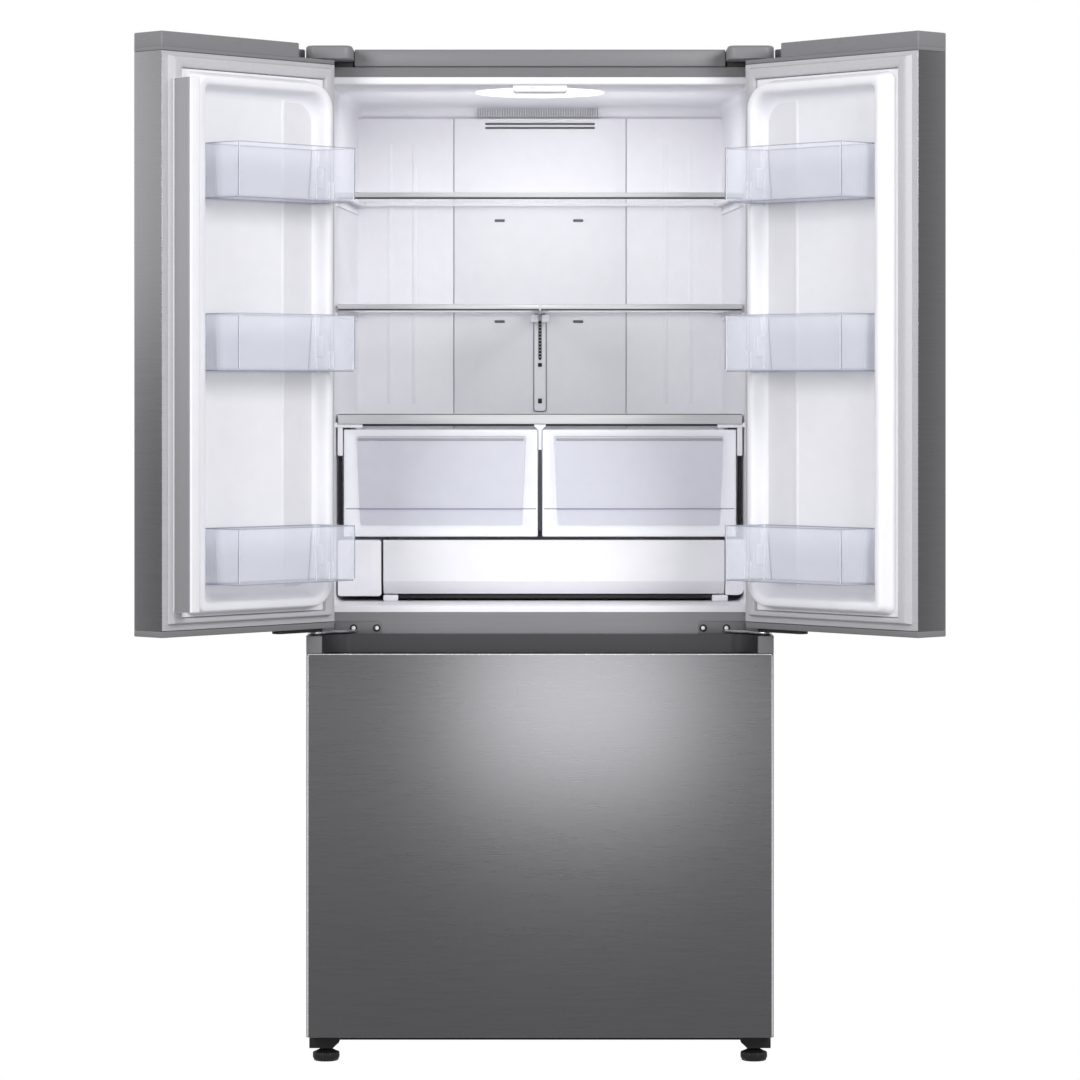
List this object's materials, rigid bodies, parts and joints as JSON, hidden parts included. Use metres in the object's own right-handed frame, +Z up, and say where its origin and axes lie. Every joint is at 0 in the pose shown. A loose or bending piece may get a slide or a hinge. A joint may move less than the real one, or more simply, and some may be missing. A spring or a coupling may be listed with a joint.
{
  "type": "french door refrigerator",
  "caption": "Upright refrigerator with a pair of side-hinged upper doors over a pull-out freezer drawer, with shelves, door bins and sliding drawers.",
  "frame": {"origin": "on the floor under the middle of the whole object's box, doors as stored open", "axes": "+X to the viewer's right, +Y to the back, +Z up"},
  "size_m": [1.3634, 1.0028, 1.776],
  "materials": {
    "stainless_front": "horizontally brushed stainless steel with a fingerprint-resistant coat",
    "handle_dark": "dark grey moulded plastic in the recessed pull",
    "flange_grey": "grey pre-coated steel",
    "case_grey": "textured dark silver paint on sheet steel",
    "zinc_sheet": "plain galvanised sheet",
    "cap_plastic": "matte grey moulded plastic",
    "foam": "rigid polyurethane foam",
    "liner_white": "white satin moulded plastic",
    "clear_plastic": "clear slightly blue polystyrene",
    "shelf_glass": "tempered glass in a pale moulded frame",
    "lens": "frosted white lamp cover",
    "gasket_grey": "soft grey vinyl magnetic gasket",
    "hinge_steel": "zinc plated steel",
    "aluminium_fin": "bare aluminium fins",
    "chassis_black": "satin black paint",
    "rubber_black": "black nylon",
    "foot_black": "black knurled plastic"
  },
  "bodies": {
    "cabinet": {"cabinet_wrapper": "case_grey", "back_panel": "zinc_sheet", "foam_core": "foam", "fresh_liner": "liner_white", "freezer_liner": "liner_white", "mullion_beam": "flange_grey", "top_cap": "cap_plastic", "hinge_cover_left": "cap_plastic", "hinge_cover_right": "cap_plastic", "top_hinge_left": "hinge_steel", "top_hinge_right": "hinge_steel", "mid_hinge_left": "hinge_steel", "mid_hinge_right": "hinge_steel", "duct_cover": "liner_white", "mullion_guide": "liner_white", "lamp_lens": "lens", "upper_shelf": "shelf_glass", "middle_shelf_left": "shelf_glass", "middle_shelf_right": "shelf_glass", "crisper_cover": "shelf_glass", "filter_cover": "liner_white", "freezer_duct_cover": "liner_white", "evaporator": "aluminium_fin", "base_frame": "chassis_black", "compressor": "chassis_black", "condenser": "aluminium_fin", "machine_cover": "zinc_sheet"},
    "left_door": {"left_door_panel": "stainless_front", "left_door_top_cap": "cap_plastic", "left_door_bottom_cap": "cap_plastic", "left_door_liner": "liner_white", "left_door_gasket": "gasket_grey"},
    "left_bin_upper": {"left_bin_upper": "clear_plastic"},
    "left_bin_middle": {"left_bin_middle": "clear_plastic"},
    "left_bin_lower": {"left_bin_lower": "clear_plastic"},
    "right_door": {"right_door_panel": "stainless_front", "right_door_top_cap": "cap_plastic", "right_door_bottom_cap": "cap_plastic", "right_door_liner": "liner_white", "right_door_gasket": "gasket_grey"},
    "right_bin_upper": {"right_bin_upper": "clear_plastic"},
    "right_bin_middle": {"right_bin_middle": "clear_plastic"},
    "right_bin_lower": {"right_bin_lower": "clear_plastic"},
    "mullion_flap": {"mullion_flap": "flange_grey"},
    "crisper_left": {"crisper_left": "clear_plastic"},
    "crisper_right": {"crisper_right": "clear_plastic"},
    "pantry_drawer": {"pantry_drawer": "liner_white"},
    "freezer_upper_drawer": {"freezer_upper_drawer": "clear_plastic"},
    "freezer_slide_left": {"freezer_slide_left": "hinge_steel"},
    "freezer_slide_right": {"freezer_slide_right": "hinge_steel"},
    "foot_left": {"foot_left": "foot_black"},
    "foot_right": {"foot_right": "foot_black"},
    "rear_rollers": {"rear_rollers": "rubber_black"},
    "evaporator_fan": {"evaporator_fan": "chassis_black"},
    "condenser_fan": {"condenser_fan": "chassis_black"},
    "freezer_drawer": {"freezer_front": "stainless_front", "freezer_handle": "handle_dark", "freezer_door_liner": "liner_white", "freezer_gasket": "gasket_grey", "freezer_basket": "liner_white"}
  },
  "joints": [
    {"name": "left_door_hinge", "type": "hinge", "parent": "cabinet", "child": "left_door", "pos_m": [-0.3958, -0.15751, 1.265], "axis": [0, 0, -1], "range_deg": [-132.5, 2.5]},
    {"name": "right_door_hinge", "type": "hinge", "parent": "cabinet", "child": "right_door", "pos_m": [0.3958, -0.15751, 1.265], "axis": [0, 0, 1], "range_deg": [-132.5, 2.5]},
    {"name": "mullion_flap_hinge", "type": "hinge", "parent": "left_door", "child": "mullion_flap", "pos_m": [-0.60875, -0.47413, 1.25], "axis": [0, 0, 1], "range_deg": [-90, 0]},
    {"name": "left_bin_upper_lift", "type": "slide", "parent": "left_door", "child": "left_bin_upper", "axis": [0, 0, 1], "range_m": [0, 0.03]},
    {"name": "left_bin_middle_lift", "type": "slide", "parent": "left_door", "child": "left_bin_middle", "axis": [0, 0, 1], "range_m": [0, 0.03]},
    {"name": "left_bin_lower_lift", "type": "slide", "parent": "left_door", "child": "left_bin_lower", "axis": [0, 0, 1], "range_m": [0, 0.03]},
    {"name": "right_bin_upper_lift", "type": "slide", "parent": "right_door", "child": "right_bin_upper", "axis": [0, 0, 1], "range_m": [0, 0.03]},
    {"name": "right_bin_middle_lift", "type": "slide", "parent": "right_door", "child": "right_bin_middle", "axis": [0, 0, 1], "range_m": [0, 0.03]},
    {"name": "right_bin_lower_lift", "type": "slide", "parent": "right_door", "child": "right_bin_lower", "axis": [0, 0, 1], "range_m": [0, 0.03]},
    {"name": "crisper_left_slide", "type": "slide", "parent": "cabinet", "child": "crisper_left", "axis": [0, -1, 0], "range_m": [0, 0.25]},
    {"name": "crisper_right_slide", "type": "slide", "parent": "cabinet", "child": "crisper_right", "axis": [0, -1, 0], "range_m": [0, 0.25]},
    {"name": "pantry_drawer_slide", "type": "slide", "parent": "cabinet", "child": "pantry_drawer", "axis": [0, -1, 0], "range_m": [0, 0.28]},
    {"name": "freezer_drawer_slide", "type": "slide", "parent": "cabinet", "child": "freezer_drawer", "axis": [0, -1, 0], "range_m": [0, 0.42]},
    {"name": "freezer_upper_drawer_follow", "type": "slide", "parent": "cabinet", "child": "freezer_upper_drawer", "axis": [0, -1, 0], "range_m": [0, 0.21]},
    {"name": "freezer_slide_left_follow", "type": "slide", "parent": "cabinet", "child": "freezer_slide_left", "axis": [0, -1, 0], "range_m": [0, 0.21]},
    {"name": "freezer_slide_right_follow", "type": "slide", "parent": "cabinet", "child": "freezer_slide_right", "axis": [0, -1, 0], "range_m": [0, 0.21]},
    {"name": "foot_left_turn", "type": "hinge", "parent": "cabinet", "child": "foot_left", "pos_m": [-0.375, -0.13061, 0.012], "axis": [0, 0, 1], "continuous": true},
    {"name": "foot_right_turn", "type": "hinge", "parent": "cabinet", "child": "foot_right", "pos_m": [0.375, -0.13061, 0.012], "axis": [0, 0, 1], "continuous": true},
    {"name": "rear_rollers_spin", "type": "hinge", "parent": "cabinet", "child": "rear_rollers", "pos_m": [0, 0.45139, 0.022], "axis": [1, 0, 0], "continuous": true},
    {"name": "evaporator_fan_spin", "type": "hinge", "parent": "cabinet", "child": "evaporator_fan", "pos_m": [0, 0.35839, 0.64], "axis": [0, 1, 0], "continuous": true},
    {"name": "condenser_fan_spin", "type": "hinge", "parent": "cabinet", "child": "condenser_fan", "pos_m": [-0.06, 0.37139, 0.165], "axis": [1, 0, 0], "continuous": true}
  ],
  "couplings": [
    {"joint": "freezer_upper_drawer_follow", "follows": "freezer_drawer_slide", "ratio": 0.5},
    {"joint": "freezer_slide_left_follow", "follows": "freezer_drawer_slide", "ratio": 0.5},
    {"joint": "freezer_slide_right_follow", "follows": "freezer_drawer_slide", "ratio": 0.5}
  ]
}
